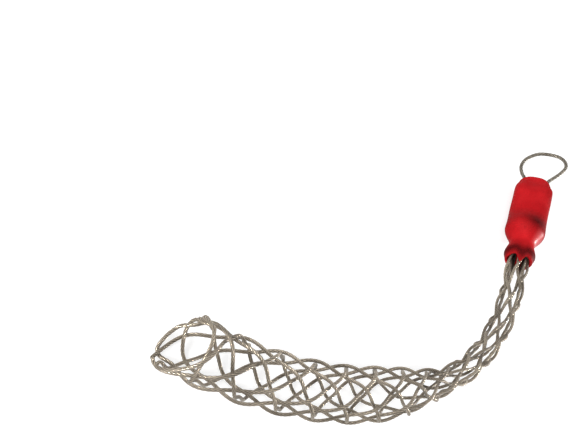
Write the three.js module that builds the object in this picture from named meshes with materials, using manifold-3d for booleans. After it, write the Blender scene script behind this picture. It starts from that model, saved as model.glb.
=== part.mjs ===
// Cable pulling grip: an open-ended sock braided from steel strands, pressed into a ferrule with a
// wire eye, and covered by a shrink sleeve. It lies on a flat surface in a gentle bend.
// Millimetres, +Z up. The origin is the middle of the base of the whole grip's box.
import * as THREE from "three";
import { mergeVertices } from "three/addons/utils/BufferGeometryUtils.js";
import Module from "manifold-3d";

// Strands and braid
const wireCount = 5; // each wire is folded at the open end, so ten legs are braided
const wireDiameter = 1.1;
const crossingGap = 0.4; // clear space between two strands where they cross
const rowSpacing = 13.7; // along the full sock, between crossings on one side of it
const braidRows = 13.25; // from the folds into the sleeve, ending between two crossings
const sockInside = 12.6; // diameter of the room for the cable
const neckMeanDiameter = 6.8; // of the braid between the cable and the sleeve
const taperStart = 83.5; // along the sock, where it leaves the cable's full diameter
const taperLength = 43;
const latticeTurn = 17.4; // degrees that the braid is turned about its own axis
const neckTwist = -50; // degrees that it twists further along the neck
const lean = 0.4; // how far one side of the braid is drawn ahead, for each millimetre of radius
const leanAngle = -35; // degrees, a quarter turn behind the side that is drawn ahead
const strandRun = 6.2; // straight stretch of the strands inside the sleeve's mouth

// The open end: how far round a fold is, and how far each wire's fold has been drawn round the
// sock in degrees, drawn along it, and lifted off the cable
const foldDepth = 2;
const foldTurns = [-16, -56, 34, 4, -4];
const foldPushes = [12, 10, 9, 9, 11];
const foldLifts = [0.6, 0.6, 0.6, 0.5, -0.2];
const turnRows = 3; // rows over which the turns and lifts fade out
const pushRows = 1.6;
const foldFade = 0.3; // rows before a leg first passes over and under

// Bends of the whole grip as it lies, each a length and the degrees that it turns
const startHeading = -17;
const sockBendLength = 120;
const sockBendTurn = 37.2;
const neckBendTurn = 45.5;
const straightLead = 10.6; // length of the neck that is straight ahead of the sleeve

// Ferrule
const fitGap = 0.3; // clearance between pieces that seat in each other
const holeGap = 0.25; // round each strand in the ferrule
const ferruleDiameter = 13;
const ferruleThickness = 9.6; // it is pressed oval, flat to the eye
const ferruleLength = 19;
const ferruleEdge = 1;
const ferruleClear = 1.1; // from the sleeve's shoulder to the ferrule
const ferruleRingDiameter = 6.4; // circle of the strands inside it
const strandStop = 3; // how far short of the ferrule's end the strands stop
const eyeHoleSpacing = 9.6;

// Shrink sleeve, with places along it from its mouth
const sleeveWall = 0.8;
const sleeveTail = 8.6; // past the ferrule, flattening towards the eye
const lipDiameter = 10.6;
const collarDiameter = 12;
const collarPlace = 2.6;
const sleeveNeckDiameter = 9.8;
const sleeveNeckPlace = 7.4;
const shoulderLength = 7;
const pressLength = 8; // from the shoulder, where it goes from round to the ferrule's oval
const flatThickness = 5;
const flatWidth = 13.4;
const flatCorner = 0.6; // 1 is an oval end, less is squarer

// Eye
const eyeRopeDiameter = 1.3;
const eyeWidth = 18.4;
const eyeHeight = 15.4; // above the sleeve's end
const eyeLean = -3.2; // how far its round end lies to one side
const eyeTurn = -52; // degrees about the sleeve's axis
const eyeCornerDepth = 5; // below the sleeve's end, where its legs are straight
// Its round from a leg to the middle, as shares of half its width and of its height
const eyeRound = [[0.72, 0.1], [0.94, 0.36], [0.98, 0.62], [0.79, 0.82], [0.42, 0.96]];

// Facets
const strandSides = 6;
const strandSteps = 180;
const foldCloseness = 0.25; // share by which a strand's steps draw together at its fold
const eyeSides = 6;
const eyeSteps = 56;
const ferruleFacets = 32;
const sleeveFacets = 30;
const curveSteps = 4; // along each curved part of the sleeve's outline
const holeFacets = 7;

const wireRadius = wireDiameter / 2;
const weave = wireRadius + crossingGap / 2;
const sockMeanRadius = sockInside / 2 + wireRadius + weave;
const sockOuterRadius = sockMeanRadius + weave + wireRadius;
const neckMeanRadius = neckMeanDiameter / 2;
const ringRadius = ferruleRingDiameter / 2;
const sleeveRadius = ferruleDiameter / 2 + fitGap + sleeveWall;
const sleeveHalfThickness = ferruleThickness / 2 + fitGap + sleeveWall;
const radians = THREE.MathUtils.degToRad;
const smooth = THREE.MathUtils.smoothstep;
const mix = THREE.MathUtils.lerp;
const anglePerRow = radians(360 / wireCount);

const wasm = await Module();
wasm.setup();

// Mean radius of the braid over the cable and along the slim neck.
function slimRadius(along) {
  return mix(sockMeanRadius, neckMeanRadius, smooth(along, taperStart, taperStart + taperLength));
}

// A leg has the same length of strand in each row, so the rows grow longer where the braid is slim.
const legPerRow = Math.hypot(rowSpacing, anglePerRow * sockMeanRadius);
const rowLength = (radius) => Math.sqrt(legPerRow ** 2 - (anglePerRow * radius) ** 2);
const neckRow = rowLength(neckMeanRadius);
const tallyStep = 0.5;
const rowTally = [0];
for (let along = 0; rowTally.at(-1) < braidRows; along += tallyStep) {
  rowTally.push(rowTally.at(-1) + tallyStep / rowLength(slimRadius(along + tallyStep / 2)));
}
const easeStart = tallyStep * rowTally.findIndex((rows) => rows > braidRows - 0.5);
const easeEnd = easeStart + neckRow;

// Places along the grip, from the row of folds
const sleeveStart = easeEnd - strandRun;
const shoulderEnd = sleeveNeckPlace + shoulderLength; // from the sleeve's mouth
const ferruleStart = sleeveStart + shoulderEnd + ferruleClear;
const sleeveEnd = ferruleStart + ferruleLength + sleeveTail;
const sleeveLength = sleeveEnd - sleeveStart;
const squeezeLength = sleeveTail + ferruleEdge / 2;
const neckBendLength = sleeveStart - sockBendLength - straightLead;
const strandEnd = ferruleStart + ferruleLength - strandStop;

// Rows passed at a place along the sock: they ease to a stop inside the sleeve.
function rowsAt(along) {
  const place = Math.min(along, easeStart) / tallyStep;
  const before = Math.floor(place);
  const rows = mix(rowTally[before], rowTally[before + 1], place - before);
  if (along < easeStart) return rows;
  const rest = 1 - Math.min((along - easeStart) / neckRow, 1);
  return braidRows - (braidRows - rows) * rest * rest;
}

// Mean radius of the braid, which opens again to the ring of holes in the ferrule.
function braidRadius(along) {
  return mix(slimRadius(along), ringRadius, smooth(along, easeStart, easeEnd));
}

// Turn of the braid about its own axis. In the ferrule each leg of the eye is between two strands.
const ringTurn = eyeTurn + 180 / wireCount;
function braidTurn(along) {
  const twisted = latticeTurn + neckTwist * smooth(along, taperStart, easeStart);
  return radians(mix(twisted, ringTurn, smooth(along, easeStart, easeEnd)));
}

// Point and heading of the grip's centreline: two arcs, then straight through the sleeve.
function centreline(along) {
  const stretches = [
    { length: sockBendLength, turn: radians(sockBendTurn) },
    { length: neckBendLength, turn: radians(neckBendTurn) },
    { length: Infinity, turn: 0 },
  ];
  let heading = radians(startHeading);
  let left = along;
  const point = new THREE.Vector3();
  for (const { length, turn } of stretches) {
    const part = Math.min(left, length);
    const bend = turn === 0 ? 0 : turn / length;
    const next = heading + bend * part;
    if (bend === 0) {
      point.x += part * Math.cos(heading);
      point.y += part * Math.sin(heading);
    } else {
      point.x += (Math.sin(next) - Math.sin(heading)) / bend;
      point.y += (Math.cos(heading) - Math.cos(next)) / bend;
    }
    heading = next;
    left -= part;
    if (left <= 0) break;
  }
  point.z = mix(sockOuterRadius, sleeveRadius, smooth(along, sockBendLength, sleeveStart));
  return { point, heading };
}

// A point beside the centreline: radius out, at an angle from its left side towards its top.
function around(along, radius, angle) {
  const { point, heading } = centreline(along);
  const sideways = radius * Math.cos(angle);
  point.x -= sideways * Math.sin(heading);
  point.y += sideways * Math.cos(heading);
  point.z += radius * Math.sin(angle);
  return point;
}

// A smooth value all round the sock that takes each listed value at its own wire's fold.
function roundSock(values, angle) {
  const count = values.length;
  return values.reduce((sum, value, i) => {
    const away = angle - (2 * Math.PI * i) / count;
    let bump = 1;
    for (let wave = 1; wave <= (count - 1) / 2; wave++) bump += 2 * Math.cos(wave * away);
    return sum + (value * bump) / count;
  }, 0);
}

// One wire: it comes back along the sock from the ferrule, folds at the open end and returns.
// Its legs wind in opposite senses, and pass over and under the others at every row.
class FoldedWire extends THREE.Curve {
  constructor(foldAngle) {
    super();
    this.foldAngle = foldAngle;
    this.arcLengthDivisions = 900;
  }

  getPoint(t, target = new THREE.Vector3()) {
    const reach = Math.sqrt((strandEnd + foldDepth) ** 2 - foldDepth ** 2);
    const run = (2 * t - 1) * reach;
    const sense = Math.sign(run) || 1;
    const along = Math.hypot(run, foldDepth) - foldDepth;
    const rows = rowsAt(along);
    const leg = rowsAt(Math.abs(run)) - rows;
    const wound = rows + leg * (1 - smooth(rows, 0, 1));
    const winding = this.foldAngle + sense * anglePerRow * wound;
    const loose = Math.max(1 - rows / turnRows, 0) ** 2;
    const pushed = Math.max(1 - rows / pushRows, 0) ** 2;
    const angle = winding + radians(roundSock(foldTurns, winding)) * loose;
    const over = sense * weave * Math.cos(2 * Math.PI * wound) * smooth(wound, 0, foldFade);
    const radius = braidRadius(along) + over + roundSock(foldLifts, winding) * loose;
    const ahead = lean * braidRadius(along) * Math.sin(angle - radians(leanAngle));
    const held = smooth(along, easeStart, easeEnd);
    const place = along + roundSock(foldPushes, winding) * pushed + ahead * (1 - held);
    return target.copy(around(place, radius, angle + braidTurn(along)));
  }

  // Even steps along the wire, drawn together towards its fold.
  getUtoTmapping(u, distance) {
    const even = super.getUtoTmapping(u, distance);
    return distance ? even : mix(even, 0.5 + 4 * (u - 0.5) ** 3, foldCloseness);
  }
}

// A round section for extruding along a curve.
function roundSection(radius, sides) {
  const corners = [];
  for (let i = 0; i < sides; i++) {
    const turn = (2 * Math.PI * i) / sides;
    corners.push(new THREE.Vector2(radius * Math.cos(turn), radius * Math.sin(turn)));
  }
  return new THREE.Shape(corners);
}

function strandAlong(curve, radius, sides, steps) {
  return new THREE.ExtrudeGeometry(roundSection(radius, sides), { steps, extrudePath: curve });
}

// Turns a piece made about +Z so that it stands about the grip's straight end, from a place along it.
function seatOnAxis(geometry, along) {
  const { point, heading } = centreline(along);
  const axis = new THREE.Vector3(Math.cos(heading), Math.sin(heading), 0);
  const side = new THREE.Vector3(-Math.sin(heading), Math.cos(heading), 0);
  const up = new THREE.Vector3(0, 0, 1);
  const seat = new THREE.Matrix4().makeBasis(side, up, axis).setPosition(point);
  return geometry.applyMatrix4(seat);
}

function toSolid(geometry) {
  const bare = geometry.index ? geometry.toNonIndexed() : geometry.clone();
  bare.deleteAttribute("normal");
  bare.deleteAttribute("uv");
  const merged = mergeVertices(bare, 1e-4);
  const mesh = new wasm.Mesh({
    numProp: 3,
    vertProperties: new Float32Array(merged.attributes.position.array),
    triVerts: new Uint32Array(merged.index.array),
  });
  return new wasm.Manifold(mesh);
}

function toGeometry(solid) {
  const { vertProperties, triVerts } = solid.getMesh();
  const geometry = new THREE.BufferGeometry();
  geometry.setAttribute("position", new THREE.BufferAttribute(new Float32Array(vertProperties), 3));
  geometry.setIndex(new THREE.BufferAttribute(new Uint32Array(triVerts), 1));
  return geometry;
}

// The ferrule is an oval barrel with rounded edges and a hole for each strand and each leg of the eye.
function ferrule() {
  const radius = ferruleDiameter / 2;
  const bevel = ferruleEdge * (1 - Math.SQRT1_2);
  const profile = [
    new THREE.Vector2(0, 0),
    new THREE.Vector2(radius - ferruleEdge, 0),
    new THREE.Vector2(radius - bevel, bevel),
    new THREE.Vector2(radius, ferruleEdge),
    new THREE.Vector2(radius, ferruleLength - ferruleEdge),
    new THREE.Vector2(radius - bevel, ferruleLength - bevel),
    new THREE.Vector2(radius - ferruleEdge, ferruleLength),
    new THREE.Vector2(0, ferruleLength),
  ];
  const barrel = new THREE.LatheGeometry(profile, ferruleFacets).rotateX(Math.PI / 2);
  barrel.scale(1, ferruleThickness / ferruleDiameter, 1).rotateZ(radians(eyeTurn));
  let body = toSolid(barrel);
  const drill = (reach, turn, strandRadius) => {
    const holeRadius = strandRadius + holeGap;
    const hole = new THREE.CylinderGeometry(holeRadius, holeRadius, 2 * ferruleLength, holeFacets);
    hole.rotateX(Math.PI / 2);
    hole.translate(reach * Math.cos(turn), reach * Math.sin(turn), ferruleLength / 2);
    body = body.subtract(toSolid(hole));
  };
  for (let i = 0; i < wireCount; i++) {
    for (const sense of [-1, 1]) {
      drill(ringRadius, radians(ringTurn) + anglePerRow * (i + sense * braidRows), wireRadius);
    }
  }
  for (const side of [-1, 1]) drill((side * eyeHoleSpacing) / 2, radians(eyeTurn), eyeRopeDiameter / 2);
  return seatOnAxis(toGeometry(body), ferruleStart);
}

// Outer radius and place of the round sleeve from its mouth: lip, collar, neck, shoulder, body.
function sleeveOutline() {
  const turns = [
    [lipDiameter / 2, 0, 0],
    [collarDiameter / 2, collarPlace, curveSteps],
    [sleeveNeckDiameter / 2, sleeveNeckPlace, curveSteps],
    [sleeveRadius, shoulderEnd, curveSteps],
    [sleeveRadius, shoulderEnd + pressLength, curveSteps],
    [sleeveRadius, sleeveLength - squeezeLength, 1],
    [sleeveRadius, sleeveLength, curveSteps],
  ];
  const points = [[turns[0][0], turns[0][1]]];
  for (let i = 1; i < turns.length; i++) {
    const [fromRadius, from] = turns[i - 1];
    const [toRadius, to, steps] = turns[i];
    for (let step = 1; step <= steps; step++) {
      const part = step / steps;
      points.push([mix(fromRadius, toRadius, smooth(part, 0, 1)), mix(from, to, part)]);
    }
  }
  return points;
}

// The shrink sleeve is one thin wall, round at its shoulder, oval on the ferrule and squeezed flat
// at the eye's legs.
function sleeve() {
  const outer = sleeveOutline();
  const inner = outer.map(([radius, place]) => [radius - sleeveWall, place]).reverse();
  const profile = [...outer, ...inner, outer[0]].map(([radius, place]) => new THREE.Vector2(radius, place));
  const geometry = new THREE.LatheGeometry(profile, sleeveFacets);
  geometry.rotateX(Math.PI / 2);
  const place = geometry.attributes.position;
  const cos = Math.cos(radians(eyeTurn));
  const sin = Math.sin(radians(eyeTurn));
  for (let i = 0; i < place.count; i++) {
    const across = place.getX(i) * cos + place.getY(i) * sin;
    const through = place.getY(i) * cos - place.getX(i) * sin;
    const squeeze = smooth(place.getZ(i), sleeveLength - squeezeLength, sleeveLength);
    const radius = Math.hypot(across, through);
    const wall = radius > sleeveRadius - sleeveWall / 2 ? 0 : sleeveWall;
    const wide = mix(radius, flatWidth / 2 - wall, squeeze);
    const press = smooth(place.getZ(i), shoulderEnd, shoulderEnd + pressLength);
    const oval = mix(radius, sleeveHalfThickness - wall, press);
    const thick = mix(oval, flatThickness / 2 - wall, squeeze);
    const corner = mix(1, flatCorner, squeeze);
    const flatAcross = wide * Math.sign(across) * Math.abs(across / radius) ** corner;
    const flatThrough = thick * Math.sign(through) * Math.abs(through / radius) ** corner;
    place.setX(i, flatAcross * cos - flatThrough * sin);
    place.setY(i, flatAcross * sin + flatThrough * cos);
  }
  return seatOnAxis(geometry, sleeveStart);
}

// The eye is one rope: up from the ferrule, out over the sleeve's corner and round.
function eyeRope() {
  const half = (eyeWidth - eyeRopeDiameter) / 2;
  const leg = eyeHoleSpacing / 2;
  const crown = eyeHeight - eyeRopeDiameter / 2;
  const low = ferruleStart + strandStop;
  const corners = [
    [leg, low],
    [leg, mix(low, sleeveEnd - eyeCornerDepth, 0.5)],
    [leg, sleeveEnd - eyeCornerDepth],
    [leg, sleeveEnd - eyeRopeDiameter / 2],
    ...eyeRound.map(([outwards, upwards]) => [outwards * half, sleeveEnd + upwards * crown]),
  ];
  const mirrored = corners.map(([across, along]) => [-across, along]).reverse();
  const points = [...corners, ...mirrored].map(([across, along]) => {
    const sideways = eyeLean * smooth(along, sleeveEnd, sleeveEnd + crown);
    return around(along, across + sideways, radians(eyeTurn));
  });
  const curve = new THREE.CatmullRomCurve3(points, false, "centripetal");
  return strandAlong(curve, eyeRopeDiameter / 2, eyeSides, eyeSteps);
}

function piece(name, geometry, colour, roughness, metalness) {
  const material = new THREE.MeshStandardMaterial({ color: colour, roughness, metalness });
  const mesh = new THREE.Mesh(geometry, material);
  mesh.name = name;
  return mesh;
}

const grip = new THREE.Group();
for (let i = 0; i < wireCount; i++) {
  const strand = strandAlong(new FoldedWire(anglePerRow * i), wireRadius, strandSides, strandSteps);
  grip.add(piece(`mesh_wire_${i + 1}`, strand, 0x8a8378, 0.35, 0.9));
}
grip.add(piece("eye_rope", eyeRope(), 0x857d70, 0.4, 0.85));
grip.add(piece("ferrule", ferrule(), 0x9a9a98, 0.4, 0.9));
grip.add(piece("heat_shrink_sleeve", sleeve(), 0xc4262c, 0.45, 0));

// The grip is set over its origin, standing on z = 0.
const box = new THREE.Box3().setFromObject(grip, true);
const middle = box.getCenter(new THREE.Vector3());
grip.position.set(-middle.x, -middle.y, -box.min.z);
const model = new THREE.Group();
model.add(grip);

export default model;
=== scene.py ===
import math
import bpy
import numpy as np
from mathutils import Matrix, Vector


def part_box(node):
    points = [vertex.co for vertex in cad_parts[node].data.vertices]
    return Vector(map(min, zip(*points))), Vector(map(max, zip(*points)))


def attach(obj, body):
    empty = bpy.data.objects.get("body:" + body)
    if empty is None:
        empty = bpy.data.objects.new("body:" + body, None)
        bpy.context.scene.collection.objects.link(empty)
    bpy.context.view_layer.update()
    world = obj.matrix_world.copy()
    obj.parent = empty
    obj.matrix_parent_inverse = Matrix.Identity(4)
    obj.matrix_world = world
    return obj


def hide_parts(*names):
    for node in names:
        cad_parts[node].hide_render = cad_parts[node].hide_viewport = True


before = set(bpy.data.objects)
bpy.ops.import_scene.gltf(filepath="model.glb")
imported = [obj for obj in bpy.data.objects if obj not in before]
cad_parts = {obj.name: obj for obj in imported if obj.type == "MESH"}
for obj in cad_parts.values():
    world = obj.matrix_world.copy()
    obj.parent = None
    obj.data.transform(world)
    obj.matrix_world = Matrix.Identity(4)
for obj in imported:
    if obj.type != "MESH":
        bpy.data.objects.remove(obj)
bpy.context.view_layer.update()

# A braided cable pulling grip, laid in a gentle bend. Shapes are worked out in millimetres.
print("frame loaded with", len(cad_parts), "nodes")
mm = 0.001
up = np.array([0, 0, 1.0])

# The sizes that more than one piece is worked out from. A row is the way between two crossings on
# one side of the sock, and each wire's fold has its own turn in degrees, push along and lift.
braid = {
    "wireCount": 5, "wireDiameter": 1.1, "crossingGap": 0.4, "rowSpacing": 13.7, "rows": 13.25,
    "inside": 12.6, "neckMean": 6.8, "taperStart": 83.5, "taperLength": 43, "turn": 17.4,
    "neckTwist": -50, "lean": 0.4, "leanAngle": -35, "strandRun": 6.2, "ringDiameter": 6.4,
    "foldDepth": 2, "foldTurns": (-16, -56, 34, 4, -4), "foldPushes": (12, 10, 9, 9, 11),
    "foldLifts": (0.6, 0.6, 0.6, 0.5, -0.2), "turnRows": 3, "pushRows": 1.6, "foldFade": 0.3,
    "easeRows": 0.5, "tallyStep": 0.5, "tallyReach": 300,
}
bends = {"heading": -17, "sockLength": 120, "sockTurn": 37.2, "neckTurn": 45.5, "straightLead": 10.6}
ferruleSizes = {"diameter": 13, "length": 19, "depth": 15.5, "strandStop": 3, "fitGap": 0.3}
sleeveSizes = {
    "wall": 0.8, "length": 43.1, "lip": 10.6, "collar": 12, "collarPlace": 2.6, "neck": 9.8,
    "neckPlace": 7.4, "shoulder": 7, "squeeze": 9.1, "flatWidth": 13.4, "corner": 0.6,
}
eyeSizes = {
    "rope": 1.3, "width": 18.4, "height": 15.4, "lean": -3.2, "turn": -52, "cornerDepth": 5, "holes": 9.6,
    "round": ((0.72, 0.1), (0.94, 0.36), (0.98, 0.62), (0.79, 0.82), (0.42, 0.96)),
}

wireRadius = braid["wireDiameter"] / 2
weave = wireRadius + braid["crossingGap"] / 2
sockMean = braid["inside"] / 2 + wireRadius + weave
sockOuter = sockMean + weave + wireRadius
sleeveRadius = ferruleSizes["diameter"] / 2 + ferruleSizes["fitGap"] + sleeveSizes["wall"]
anglePerRow = 2 * math.pi / braid["wireCount"]


def smooth(value, start, end):  # 3x^2 - 2x^3 of the share x of the way from start to end
    x = np.clip((value - start) / (end - start), 0, 1)
    return x * x * (3 - 2 * x)


def mix(a, b, share):
    return a + (b - a) * share


def hump(value, middle, width):  # 1 at the middle, and e to the minus square of the widths away from it
    return np.exp(-((value - middle) / width) ** 2)


def wayAlong(points):  # distance gone at each point of a path
    return np.concatenate([[0], np.cumsum(np.linalg.norm(np.diff(points, axis=0), axis=1))])


def slimRadius(along):  # mean radius of the braid, from the full sock's to the neck's
    taper = smooth(along, braid["taperStart"], braid["taperStart"] + braid["taperLength"])
    return mix(sockMean, braid["neckMean"] / 2, taper)


# Each row takes the same length of strand: row^2 = leg^2 - (angle * radius)^2, added up along the grip
leg2 = braid["rowSpacing"] ** 2 + (anglePerRow * sockMean) ** 2
tallyStep = braid["tallyStep"]
tallyPlaces = np.arange(0, braid["tallyReach"], tallyStep)
rowLengths = np.sqrt(leg2 - (anglePerRow * slimRadius(tallyPlaces + tallyStep / 2)) ** 2)
tallyRows = np.concatenate([[0], np.cumsum(tallyStep / rowLengths)[:-1]])
neckRow = float(rowLengths[-1])
easeStart = tallyStep * int(np.argmax(tallyRows > braid["rows"] - braid["easeRows"]))
easeEnd = easeStart + neckRow
sleeveStart = easeEnd - braid["strandRun"]
sleeveEnd = sleeveStart + sleeveSizes["length"]
ferruleStart = sleeveStart + ferruleSizes["depth"]
strandEnd = ferruleStart + ferruleSizes["length"] - ferruleSizes["strandStop"]
neckBend = sleeveStart - bends["sockLength"] - bends["straightLead"]


def rowsAt(along):  # the tally, then a quadratic that stops at the last row
    rows = np.interp(np.minimum(along, easeStart), tallyPlaces, tallyRows)
    rest = 1 - np.clip((along - easeStart) / neckRow, 0, 1)
    return np.where(along < easeStart, rows, braid["rows"] - (braid["rows"] - rows) * rest * rest)


def braidRadius(along):
    return mix(slimRadius(along), braid["ringDiameter"] / 2, smooth(along, easeStart, easeEnd))


def braidTurn(along):
    # The neck twists as it bends; in the ferrule each leg of the eye is between two strands
    twisted = braid["turn"] + braid["neckTwist"] * smooth(along, braid["taperStart"], easeStart)
    ringTurn = eyeSizes["turn"] + 180 / braid["wireCount"]
    return np.radians(mix(twisted, ringTurn, smooth(along, easeStart, easeEnd)))


def centreline(along):
    # Two arcs, then straight: x and y are the integrals of the heading's cosine and sine
    along = np.asarray(along, float)
    heading = np.full_like(along, math.radians(bends["heading"]))
    x, y, left = np.zeros_like(along), np.zeros_like(along), along.copy()
    for length, turn in ((bends["sockLength"], bends["sockTurn"]), (neckBend, bends["neckTurn"])):
        part = np.minimum(left, length)
        bend = math.radians(turn) / length
        after = heading + bend * part
        x = x + (np.sin(after) - np.sin(heading)) / bend
        y = y + (np.cos(heading) - np.cos(after)) / bend
        heading, left = after, np.maximum(left - length, 0)
    x, y = x + left * np.cos(heading), y + left * np.sin(heading)
    z = mix(sockOuter, sleeveRadius, smooth(along, bends["sockLength"], sleeveStart))
    return np.stack([x, y, z], -1), heading


def leftOf(heading):  # unit vector a quarter turn to the left of a level heading
    return np.stack([-np.sin(heading), np.cos(heading), np.zeros_like(heading)], -1)


def around(along, radius, angle):
    # The centreline's point, plus radius towards its left side turned by angle towards its top
    point, heading = centreline(along)
    away = np.cos(angle)[..., None] * leftOf(heading) + np.sin(angle)[..., None] * up
    return point + np.asarray(radius)[..., None] * away, away


# The solids' place in the frame, found from the ferrule, whose box is centred on the grip's axis
ferruleLow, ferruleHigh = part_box("ferrule")
ferruleMiddle = centreline(ferruleStart + ferruleSizes["length"] / 2)[0]
shift = np.array((ferruleLow + ferruleHigh) / 2) / mm - ferruleMiddle


def gridMesh(name, grid, closedRows=False, layer=None):
    # Rows of points, each row closed on itself; open ends are closed with a pole at their middle
    rows, columns = grid.shape[:2]
    points = grid.reshape(-1, 3)
    first = np.arange(rows if closedRows else rows - 1)[:, None]
    column = np.arange(columns)[None, :]
    after, beside = (first + 1) % rows, (column + 1) % columns
    quads = np.stack([first * columns + column, first * columns + beside,
                      after * columns + beside, after * columns + column], -1).reshape(-1, 4)
    faces = quads.tolist()
    if not closedRows:
        points = np.vstack([points, grid[0].mean(0), grid[-1].mean(0)])
        base, tip, last = rows * columns, rows * columns + 1, (rows - 1) * columns
        ring = np.arange(columns)
        turned = (ring + 1) % columns
        faces += np.stack([np.full(columns, base), turned, ring], -1).tolist()
        faces += np.stack([np.full(columns, tip), last + ring, last + turned], -1).tolist()
    mesh = bpy.data.meshes.new(name)
    mesh.from_pydata(((points + shift) * mm).tolist(), [], faces)
    mesh.polygons.foreach_set("use_smooth", np.ones(len(mesh.polygons), bool))
    for label, values in (layer or {}).items():
        values = np.broadcast_to(values, (rows, columns)).reshape(-1)
        padded = np.concatenate([values, np.zeros(len(points) - len(values))])
        mesh.attributes.new(label, "FLOAT", "POINT").data.foreach_set("value", padded.astype(np.float32))
    mesh.update()
    piece = bpy.data.objects.new(name, mesh)
    bpy.context.scene.collection.objects.link(piece)
    return piece


# The camera's place is in the centreline's own axes; its heading, look down and roll are in degrees
view = {
    "place": (-144.49, -59.73, 206.91), "heading": 28.476, "down": 42.685, "roll": 70.817,
    "lens": 62.64, "sensor": 36,
}


def makeCamera():
    heading, down, roll = (math.radians(view[key]) for key in ("heading", "down", "roll"))
    ahead = Vector((math.cos(down) * math.cos(heading), math.cos(down) * math.sin(heading), -math.sin(down)))
    level = Vector((math.sin(heading), -math.cos(heading), 0))
    upright = level.cross(ahead)
    right = level * math.cos(roll) + upright * math.sin(roll)
    top = upright * math.cos(roll) - level * math.sin(roll)
    data = bpy.data.cameras.new("camera")
    data.lens = view["lens"]
    data.sensor_width = view["sensor"]
    camera = bpy.data.objects.new("camera", data)
    turned = Matrix((right, top, -ahead)).transposed().to_4x4()
    camera.matrix_world = Matrix.Translation(Vector((np.array(view["place"]) + shift) * mm)) @ turned
    bpy.context.scene.collection.objects.link(camera)
    bpy.context.scene.camera = camera


makeCamera()
print("camera set")


# Shader values: Python's operators on one add Math nodes, and add() makes any other node
class Flow:
    def __init__(self, tree, socket=None):
        self.tree = tree
        self.socket = socket

    def add(self, kind, settings=None, values=None, out=0):
        node = self.tree.nodes.new("ShaderNode" + kind)
        for key, value in (settings or {}).items():
            setattr(node, key, value)
        for key, value in (values or {}).items():
            if isinstance(value, Flow):
                self.tree.links.new(value.socket, node.inputs[key])
            else:
                node.inputs[key].default_value = value
        return Flow(self.tree, node.outputs[out] if len(node.outputs) else None)

    def maths(self, operation, a, b=0.0, clamp=False):
        return self.add("Math", {"operation": operation, "use_clamp": clamp}, {0: a, 1: b})

    def __add__(self, other):
        return self.maths("ADD", self, other)

    def __radd__(self, other):
        return self.maths("ADD", other, self)

    def __sub__(self, other):
        return self.maths("SUBTRACT", self, other)

    def __rsub__(self, other):
        return self.maths("SUBTRACT", other, self)

    def __mul__(self, other):
        return self.maths("MULTIPLY", self, other)

    def __rmul__(self, other):
        return self.maths("MULTIPLY", other, self)

    def __pow__(self, other):
        return self.maths("POWER", self, other)

    def clamped(self):
        return self.maths("ADD", self, 0.0, True)

    def colour(self, low, high):  # from low to high; sockets 6 and 7 of a Mix node are its two colours
        ends = [end if isinstance(end, Flow) else (*end, 1) for end in (low, high)]
        return self.add("Mix", {"data_type": "RGBA"}, {0: self, 6: ends[0], 7: ends[1]}, out=2)


def newMaterial(name):
    material = bpy.data.materials.new(name)
    material.use_nodes = True
    material.node_tree.nodes.clear()
    return material, Flow(material.node_tree)


def finishMaterial(flow, values):
    shader = flow.add("BsdfPrincipled", None, values)
    flow.add("OutputMaterial", None, {"Surface": shader})


def noise(flow, scale, detail):  # about 0.5 on average, on the object's own coordinates
    place = flow.add("TexCoord", out="Object")
    return flow.add("TexNoise", None, {"Vector": place, "Scale": scale, "Detail": detail})


def ownValue(flow, name):  # a value that the mesh holds at each of its points
    return flow.add("Attribute", {"attribute_name": name}, out="Fac")


# The groove colour and the crown's sharpness paint shade into the grooves between the lay's wires
steelLook = {
    "crown": (0.56, 0.48, 0.375), "grooveShade": (0.006, 0.005, 0.004), "stain": (0.11, 0.085, 0.060),
    "sharpness": 3.2, "roughness": 0.17, "grooveRough": 0.35, "stainRough": 0.12, "grooveMetal": 0.25,
    "stainScale": 130, "stainDetail": 4, "stainFrom": 0.42, "stainGain": 3.2, "stainShare": 0.75,
    "grainScale": 2600, "grainDetail": 2, "grainLow": 0.60, "grainGain": 0.8,
    "bump": 0.25, "bumpDepth": 0.00005,
}
eyeSteelLook = {**steelLook, "crown": (0.36, 0.32, 0.26), "roughness": 0.34, "stainScale": 160}


def strandSteel(name, look):
    # Painted shade: dark and dull in the grooves between the lay's wires, bright on their crowns; with patchy
    # staining
    material, flow = newMaterial(name)
    patches = noise(flow, look["stainScale"], look["stainDetail"])
    stained = ((patches - look["stainFrom"]) * look["stainGain"]).clamped()
    grain = noise(flow, look["grainScale"], look["grainDetail"])
    speckle = look["grainLow"] + grain * look["grainGain"]
    # Painted shade: below 1, the colour falls towards the groove colour and the metal dulls
    bright = (ownValue(flow, "crown") ** look["sharpness"] * speckle).clamped()
    steel = (stained * look["stainShare"]).colour(look["crown"], look["stain"])
    rough = look["roughness"] + (1 - bright) * look["grooveRough"] + stained * look["stainRough"]
    bump = flow.add("Bump", None, {"Strength": look["bump"], "Distance": look["bumpDepth"], "Height": grain})
    finishMaterial(flow, {
        "Base Color": bright.colour(look["grooveShade"], steel), "Roughness": rough, "Normal": bump,
        "Metallic": look["grooveMetal"] + bright * (1 - look["grooveMetal"]),
    })
    return material


# Wires in the lay, points round each, and the lengths of one turn of the lay and of one step
strandLook = {"lobes": 6, "perLobe": 6, "lay": 7.8, "step": 0.5, "fineSteps": 9000}


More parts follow.
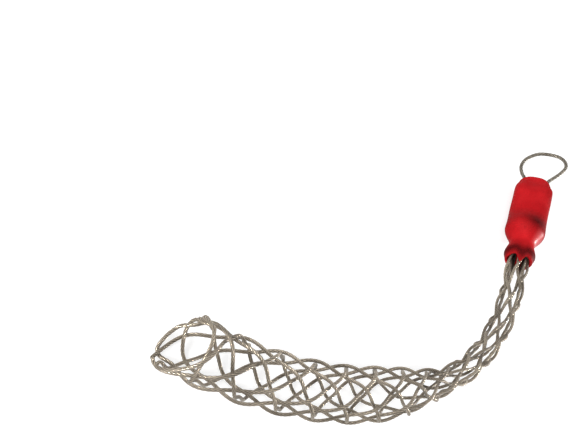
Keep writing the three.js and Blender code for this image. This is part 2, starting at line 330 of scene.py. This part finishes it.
def strandGrid(path, outward, radius, look):
    # A round lay of wires: its section's radius is c cos q + sqrt(w^2 - c^2 sin^2 q), with c a wire's
    # distance from the middle, w its radius and q the angle from it, and it turns once in each lay
    spin = np.gradient(path, axis=0)
    spin /= np.linalg.norm(spin, axis=1, keepdims=True)
    normal = outward - (outward * spin).sum(1, keepdims=True) * spin
    normal /= np.linalg.norm(normal, axis=1, keepdims=True)
    across = np.cross(spin, normal)
    wire = radius / 3
    middle = radius - wire
    columns = look["lobes"] * look["perLobe"]
    phase = np.linspace(0, 2 * math.pi, columns, endpoint=False)
    half = math.pi / look["lobes"]
    inLobe = np.mod(phase, 2 * half) - half
    reach = middle * np.cos(inLobe) + np.sqrt(np.maximum(wire ** 2 - (middle * np.sin(inLobe)) ** 2, 0))
    angle = phase[None, :] + (2 * math.pi * wayAlong(path) / look["lay"])[:, None]
    turned = np.cos(angle)[..., None] * normal[:, None] + np.sin(angle)[..., None] * across[:, None]
    crown = (reach - reach.min()) / (reach.max() - reach.min())
    return path[:, None] + reach[None, :, None] * turned, crown[None, :]


def roundSock(values, angle):
    # Passes through each value at its own wire's fold: the values' shares of 1 + 2 cos x + 2 cos 2x
    total = 0
    for i, value in enumerate(values):
        away = angle - 2 * math.pi * i / len(values)
        total = total + value * (1 + 2 * np.cos(away) + 2 * np.cos(2 * away)) / len(values)
    return total


def foldedWire(i, run):
    # Back from the ferrule, round a fold at the open end, and forth again: along is the hyperbola
    # hypot(run, depth) - depth, the two legs wind opposite ways, and each rises and dips once a row
    depth = braid["foldDepth"]
    sense = np.where(run < 0, -1.0, 1.0)
    along = np.hypot(run, depth) - depth
    rows = rowsAt(along)
    wound = rows + (rowsAt(np.abs(run)) - rows) * (1 - smooth(rows, 0, 1))
    winding = anglePerRow * (i + sense * wound)
    loose = np.maximum(1 - rows / braid["turnRows"], 0) ** 2
    pushed = np.maximum(1 - rows / braid["pushRows"], 0) ** 2
    angle = winding + np.radians(roundSock(braid["foldTurns"], winding)) * loose
    over = sense * weave * np.cos(2 * math.pi * wound) * smooth(wound, 0, braid["foldFade"])
    radius = braidRadius(along) + over + roundSock(braid["foldLifts"], winding) * loose
    ahead = braid["lean"] * braidRadius(along) * np.sin(angle - math.radians(braid["leanAngle"]))
    place = along + roundSock(braid["foldPushes"], winding) * pushed
    place = place + ahead * (1 - smooth(along, easeStart, easeEnd))
    return around(place, radius, angle + braidTurn(along))


def evenSteps(curve, start, end, look):  # parameters at even distances along a curve
    fine = np.linspace(start, end, look["fineSteps"])
    gone = wayAlong(curve(fine)[0])
    count = int(gone[-1] / look["step"]) + 1
    return np.interp(np.linspace(0, gone[-1], count), gone, fine)


def makeWires():
    steel = strandSteel("strandSteel", steelLook)
    depth = braid["foldDepth"]
    reach = math.sqrt((strandEnd + depth) ** 2 - depth ** 2)
    for i in range(braid["wireCount"]):
        curve = lambda run: foldedWire(i, run)
        path, outward = curve(evenSteps(curve, -reach, reach, strandLook))
        grid, crown = strandGrid(path, outward, wireRadius, strandLook)
        strand = gridMesh(f"stranded_wire_{i + 1}", grid, layer={"crown": crown})
        strand.data.materials.append(steel)
        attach(strand, "root")
        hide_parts(f"mesh_wire_{i + 1}")


makeWires()
print("stranded wires made")

# As the strands', with how far the rope's crowns stand out past its solid, and its spline's steps
eyeLook = {"lobes": 6, "perLobe": 6, "lay": 9, "step": 0.5, "swell": 1.12, "splineSteps": 60}


def eyePath():
    # Points up one leg, round and down the other, joined by a centripetal spline
    half = (eyeSizes["width"] - eyeSizes["rope"]) / 2
    leg = eyeSizes["holes"] / 2
    crown = eyeSizes["height"] - eyeSizes["rope"] / 2
    low = ferruleStart + ferruleSizes["strandStop"]
    bend = sleeveEnd - eyeSizes["cornerDepth"]
    side = [(leg, low), (leg, mix(low, bend, 0.5)), (leg, bend), (leg, sleeveEnd - eyeSizes["rope"] / 2)]
    side += [(out * half, sleeveEnd + rise * crown) for out, rise in eyeSizes["round"]]
    corners = np.array(side + [(-across, along) for across, along in reversed(side)])
    corners[:, 0] += eyeSizes["lean"] * smooth(corners[:, 1], sleeveEnd, sleeveEnd + crown)
    turn = np.full(len(corners), math.radians(eyeSizes["turn"]))
    return around(corners[:, 1], corners[:, 0], turn)[0]


def spline(points, steps):
    # Cubic through each pair of points, its end slopes from knots spaced by the root of the distance
    whole = np.vstack([2 * points[0] - points[1], points, 2 * points[-1] - points[-2]])
    gaps = np.sqrt(np.linalg.norm(np.diff(whole, axis=0), axis=1))
    share = np.linspace(0, 1, steps, endpoint=False)[:, None]
    pieces = []
    for i in range(1, len(whole) - 2):
        before, here, after, later = whole[i - 1:i + 3]
        g0, g1, g2 = gaps[i - 1:i + 2]
        leave = g1 * ((here - before) / g0 - (after - before) / (g0 + g1) + (after - here) / g1)
        arrive = g1 * ((after - here) / g1 - (later - here) / (g1 + g2) + (later - after) / g2)
        s2, s3 = share ** 2, share ** 3
        pieces.append((2 * s3 - 3 * s2 + 1) * here + (s3 - 2 * s2 + share) * leave
                      + (3 * s2 - 2 * s3) * after + (s3 - s2) * arrive)
    return np.vstack(pieces + [points[-1:]])


def makeEye():
    fine = spline(eyePath(), eyeLook["splineSteps"])
    gone = wayAlong(fine)
    even = np.linspace(0, gone[-1], int(gone[-1] / eyeLook["step"]) + 1)
    path = np.stack([np.interp(even, gone, fine[:, axis]) for axis in range(3)], -1)
    turn = math.radians(eyeSizes["turn"]) + math.pi / 2
    flat = math.cos(turn) * leftOf(centreline(sleeveEnd)[1]) + math.sin(turn) * up
    radius = eyeSizes["rope"] / 2 * eyeLook["swell"]
    grid, crown = strandGrid(path, np.broadcast_to(flat, path.shape), radius, eyeLook)
    eye = gridMesh("stranded_eye", grid, layer={"crown": crown})
    eye.data.materials.append(strandSteel("eyeSteel", eyeSteelLook))
    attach(eye, "root")
    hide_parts("eye_rope")


makeEye()
print("eye made")

# Places are from the sleeve's mouth in millimetres, and angles are round it in degrees
sleeveLook = {
    # Its finish: colours, patches of them, fine grain and the gloss of its shoulder; dark is the colour that
    # painted shade mixes towards
    "red": (0.74, 0.019, 0.024), "deep": (0.52, 0.010, 0.014), "dark": (0.085, 0.003, 0.004),
    "roughness": 0.46, "grainRough": 0.14, "specular": 0.04, "coatRough": 0.36,
    "patchScale": 140, "patchDetail": 3, "patchFrom": 0.35, "patchGain": 2,
    "grainScale": 2400, "grainDetail": 2, "grainMiddle": 0.5, "grainGain": 0.7, "paintedShadeGain": 0.95,
    "bump": 0.22, "bumpDepth": 0.0001, "grainBump": 0.8,
    # Its mesh, its shoulder's bulge, and wrinkles by depth, waves round it and slant, smooth where it rests
    "rows": 260, "columns": 180, "bulge": 0.22, "bulgePlace": 14.6, "bulgeLength": 3,
    "wrinkles": ((0.05, 3, 0.4), (0.035, 7, -0.5)), "restAngle": -90, "restWidth": 35,
    # Half its thickness from the shoulder on, and its far end, rounded and cut back at its corners
    "halfThick": ((15, 7.6), (23, 5.6), (31, 5.1), (sleeveSizes["length"], 2.7)),
    "endLength": 4.5, "endWide": 0.5, "endThick": 0.4, "endRound": 0.98,
    "cutStart": 8, "cutMiddle": 1.2, "cutSides": (2.2, 3.2), "cutPower": 3,
    # Its mouth: scallops between the strands, a thick lip and a tongue
    "scallops": 5, "scallopDepth": 0.45, "mouthOut": 0.5, "mouthThick": 0.85, "mouthLength": 1.6,
    "tongueAngle": 47, "tongueWidth": 15, "tongueLength": 3.2,
    # Painted shade: darker over the drop past the shoulder, behind the collar, on the side turned away from
    # the light, and on the inside
    "dropPlace": 15.8, "dropLength": 3.8, "dropShade": 0.36,
    "sideShade": 0.62, "sideAngle": 72, "sideWidth": 36,
    "behindPlace": 2.1, "behindLength": 2.1, "insideShade": 0.2,
    "awayShade": 0.25, "awayAngle": 40, "awayTurn": (15, 70), "awayPlaces": (12, 20),
    # Glossy between these places, on the side that starts at this turn from the top
    "gloss": 0.7, "glossStart": (6, 9), "glossEnd": (11, 14), "glossAngle": 90, "glossTurn": (-20, 0),
}


def redPlastic():
    material, flow = newMaterial("redShrink")
    look = sleeveLook
    patches = noise(flow, look["patchScale"], look["patchDetail"])
    grain = noise(flow, look["grainScale"], look["grainDetail"])
    reds = ((patches - look["patchFrom"]) * look["patchGain"]).clamped().colour(look["deep"], look["red"])
    grainy = (grain - look["grainMiddle"]) * look["grainGain"]
    # Painted shade: the painted shade mask, roughened by grain, mixes the reds towards the dark colour
    shade = (ownValue(flow, "paintedShade") * look["paintedShadeGain"] + grainy).clamped().colour(reds, look["dark"])
    height = grain * look["grainBump"] + patches
    bump = flow.add("Bump", None, {"Strength": look["bump"], "Distance": look["bumpDepth"], "Height": height})
    finishMaterial(flow, {
        "Base Color": shade, "Roughness": look["roughness"] + grain * look["grainRough"], "Normal": bump,
        "Specular IOR Level": look["specular"],
        "Coat Weight": ownValue(flow, "glossy"), "Coat Roughness": look["coatRough"],
    })
    return material


def apart(angle, middle):  # degrees between an angle in radians and a place in degrees
    return (np.degrees(angle) - middle + 180) % 360 - 180


def sleeveRadii(place, angle):
    # Radius eases from turn to turn along the sleeve: lip, collar, neck, shoulder
    s, look = sleeveSizes, sleeveLook
    places = (0, s["collarPlace"], s["neckPlace"], s["neckPlace"] + s["shoulder"])
    radii = (s["lip"] / 2, s["collar"] / 2, s["neck"] / 2, sleeveRadius)
    radius = np.full_like(place, radii[0])
    for start, end, low, high in zip(places[:-1], places[1:], radii[:-1], radii[1:]):
        radius = radius + (high - low) * smooth(place, start, end)
    bulge = look["bulge"] * hump(place, look["bulgePlace"], look["bulgeLength"])
    wrinkles = sum(depth * np.sin(waves * angle + slant * place) for depth, waves, slant in look["wrinkles"])
    clear = 1 - hump(apart(angle, look["restAngle"]), 0, look["restWidth"])
    return radius + (bulge + wrinkles * smooth(place, 0, s["neckPlace"])) * clear


def squeezed(place, angle, wall):
    # Past the shoulder its thickness eases from turn to turn, while it stays as wide as the ferrule
    s, look = sleeveSizes, sleeveLook
    turn = math.radians(eyeSizes["turn"])
    fromFlat = angle - turn
    radius = sleeveRadii(place, angle)
    turns = look["halfThick"]
    thin = 0
    for (start, high), (end, low) in zip(turns[:-1], turns[1:]):
        thin = thin + (high - low) * smooth(place, start, end)
    squeeze = smooth(place, turns[0][0], s["length"])
    narrow = smooth(place, s["length"] - s["squeeze"], s["length"])
    u = np.clip((place - s["length"] + look["endLength"]) / look["endLength"], 0, 1)
    rounded = 1 - np.sqrt(1 - look["endRound"] * u * u)
    wide = mix(radius, s["flatWidth"] / 2, narrow) - look["endWide"] * rounded - wall
    thick = radius - thin - look["endThick"] * rounded - wall
    corner = mix(1, s["corner"], squeeze)
    across = wide * np.sign(np.cos(fromFlat)) * np.abs(np.cos(fromFlat)) ** corner
    through = thick * np.sign(np.sin(fromFlat)) * np.abs(np.sin(fromFlat)) ** corner
    sideways = across * math.cos(turn) - through * math.sin(turn)
    upwards = across * math.sin(turn) + through * math.cos(turn)
    # The mouth's edge runs back between the strands, and out in a tongue between its two groups
    tongue = look["tongueLength"] * hump(apart(angle, look["tongueAngle"]), 0, look["tongueWidth"])
    wave = np.cos(look["scallops"] * (angle - math.radians(look["tongueAngle"])))
    edge = look["scallopDepth"] * (1 - wave) / 2 - tongue - look["mouthOut"]
    # The other end's edge is cut round at its two corners, more at one than at the other
    left, right = look["cutSides"]
    corners = np.where(across > 0, left, right) * np.abs(across / wide) ** look["cutPower"]
    cut = (look["cutMiddle"] + corners) * smooth(place, s["length"] - look["cutStart"], s["length"])
    place = place + edge * np.clip(1 - place / s["neckPlace"], 0, 1) ** 2 - cut
    point, heading = centreline(sleeveStart + place)
    return point + sideways[..., None] * leftOf(heading) + upwards[..., None] * up


def sleeveGrid():
    s, look = sleeveSizes, sleeveLook
    places = np.linspace(0, s["length"], look["rows"])
    angles = np.linspace(0, 2 * math.pi, look["columns"], endpoint=False)
    place, angle = np.meshgrid(places, angles, indexing="ij")
    lip = look["mouthThick"] * hump(place, s["collarPlace"], look["mouthLength"])
    outer, inner = squeezed(place, angle, 0), squeezed(place, angle, s["wall"] + lip)
    # Painted shade over the drop, behind the collar and on the side away from the light, and a flat share of
    # it on the inside
    side =look["sideShade"] * hump(apart(angle, look["sideAngle"]), 0, look["sideWidth"])
    over = hump(place, look["dropPlace"], look["dropLength"]) * (look["dropShade"] + side)
    behind = hump(place, look["behindPlace"], look["behindLength"])
    away = smooth(apart(angle, look["awayAngle"]), *look["awayTurn"]) * smooth(place, *look["awayPlaces"])
    paintedShade = np.clip(over + behind + look["awayShade"] * away, 0, 1)
    between = smooth(place, *look["glossStart"]) * (1 - smooth(place, *look["glossEnd"]))
    glossy = look["gloss"] * between * smooth(apart(angle, look["glossAngle"]), *look["glossTurn"])
    layer = {
        "paintedShade": np.concatenate([paintedShade, np.full_like(paintedShade, look["insideShade"])]),
        "glossy": np.concatenate([glossy, np.zeros_like(glossy)]),
    }
    return np.concatenate([outer, inner[::-1]]), layer


def makeSleeve():
    grid, layer = sleeveGrid()
    sleeve = gridMesh("red_sleeve", grid, closedRows=True, layer=layer)
    sleeve.data.materials.append(redPlastic())
    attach(sleeve, "root")
    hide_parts("heat_shrink_sleeve")


makeSleeve()
print("sleeve made")

# Its finish, then its thickness as a share of its width, its rounded edges and its mesh
ferruleLook = {
    "dark": (0.34, 0.34, 0.33), "light": (0.62, 0.61, 0.58), "patchScale": 220, "patchDetail": 4,
    "metallic": 0.95, "roughness": 0.35, "patchRough": 0.3,
    "thin": 0.69, "edge": 1, "columns": 64, "steps": 6,
}


def ferruleMetal():
    material, flow = newMaterial("ferruleMetal")
    look = ferruleLook
    patches = noise(flow, look["patchScale"], look["patchDetail"])
    finishMaterial(flow, {
        "Base Color": patches.colour(look["dark"], look["light"]), "Metallic": look["metallic"],
        "Roughness": look["roughness"] + patches * look["patchRough"],
    })
    return material


def makeFerrule():
    # A barrel with rounded edges, pressed oval across the eye's plane
    f, look = ferruleSizes, ferruleLook
    radius, edge = f["diameter"] / 2, look["edge"]
    bend = np.linspace(0, math.pi / 2, look["steps"])
    radii = np.concatenate([radius - edge + edge * np.sin(bend), radius - edge + edge * np.cos(bend)])
    places = np.concatenate([edge - edge * np.cos(bend), f["length"] - edge + edge * np.sin(bend)])
    angle = np.linspace(0, 2 * math.pi, look["columns"], endpoint=False)
    across, through = radii[:, None] * np.cos(angle), look["thin"] * radii[:, None] * np.sin(angle)
    turned = np.arctan2(through, across) + math.radians(eyeSizes["turn"])
    along = ferruleStart + np.broadcast_to(places[:, None], across.shape)
    barrel = gridMesh("pressed_ferrule", around(along, np.hypot(across, through), turned)[0])
    barrel.data.materials.append(ferruleMetal())
    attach(barrel, "root")
    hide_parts("ferrule")


makeFerrule()
print("ferrule made")

studio = {
    "world": 0.26, "floor": 0.45, "floorGlow": 0.75, "floorHalf": 4.0,
    "lamps": (  # name, direction, distance and size in metres, power in watts
        ("key", (-0.90, -0.30, 0.42), 0.9, 0.20, 7.5),
        ("side", (0.90, -0.10, 0.36), 0.8, 0.10, 4.0),
        ("top", (-0.3, 0.3, 1.0), 1.0, 0.4, 1.6),
    ),
}


def seenRays(flow):  # 1 for what is seen straight, mirrored or through something, 0 for what lights it
    straight, mirrored, through = (flow.add("LightPath", out=f"Is {kind} Ray")
                                   for kind in ("Camera", "Glossy", "Transmission"))
    return (straight + mirrored + through).clamped()


def makeFloor():
    material, flow = newMaterial("paleFloor")
    glow = (seenRays(flow) * studio["floorGlow"]).colour((0, 0, 0), (1, 1, 1))
    tone = (studio["floor"],) * 3 + (1,)
    finishMaterial(flow, {"Base Color": tone, "Roughness": 1.0, "Specular IOR Level": 0.0,
                          "Emission Color": glow, "Emission Strength": 1.0})
    half = studio["floorHalf"]
    corners = [(-half, -half, 0), (half, -half, 0), (half, half, 0), (-half, half, 0)]
    mesh = bpy.data.meshes.new("floor")
    mesh.from_pydata(corners, [], [(0, 1, 2, 3)])
    mesh.materials.append(material)
    floor = bpy.data.objects.new("floor", mesh)
    bpy.context.scene.collection.objects.link(floor)


def makeWorld():
    world = bpy.data.worlds.new("studio")
    world.use_nodes = True
    world.node_tree.nodes.clear()
    flow = Flow(world.node_tree)
    level = seenRays(flow) * (1 - studio["world"]) + studio["world"]
    sky = flow.add("Background", None, {"Color": (1, 1, 1, 1), "Strength": level})
    flow.add("OutputWorld", None, {"Surface": sky})
    bpy.context.scene.world = world


def makeLamps():
    for name, direction, distance, size, power in studio["lamps"]:
        lamp = bpy.data.lights.new(name, "AREA")
        lamp.shape, lamp.size, lamp.energy = "SQUARE", size, power
        holder = bpy.data.objects.new(name, lamp)
        towards = Vector(direction).normalized()
        aimed = towards.to_track_quat("Z", "Y").to_matrix().to_4x4()
        holder.matrix_world = Matrix.Translation(towards * distance) @ aimed
        bpy.context.scene.collection.objects.link(holder)


makeFloor()
makeWorld()
makeLamps()
bpy.context.scene.view_settings.view_transform = "Standard"
print("studio made")
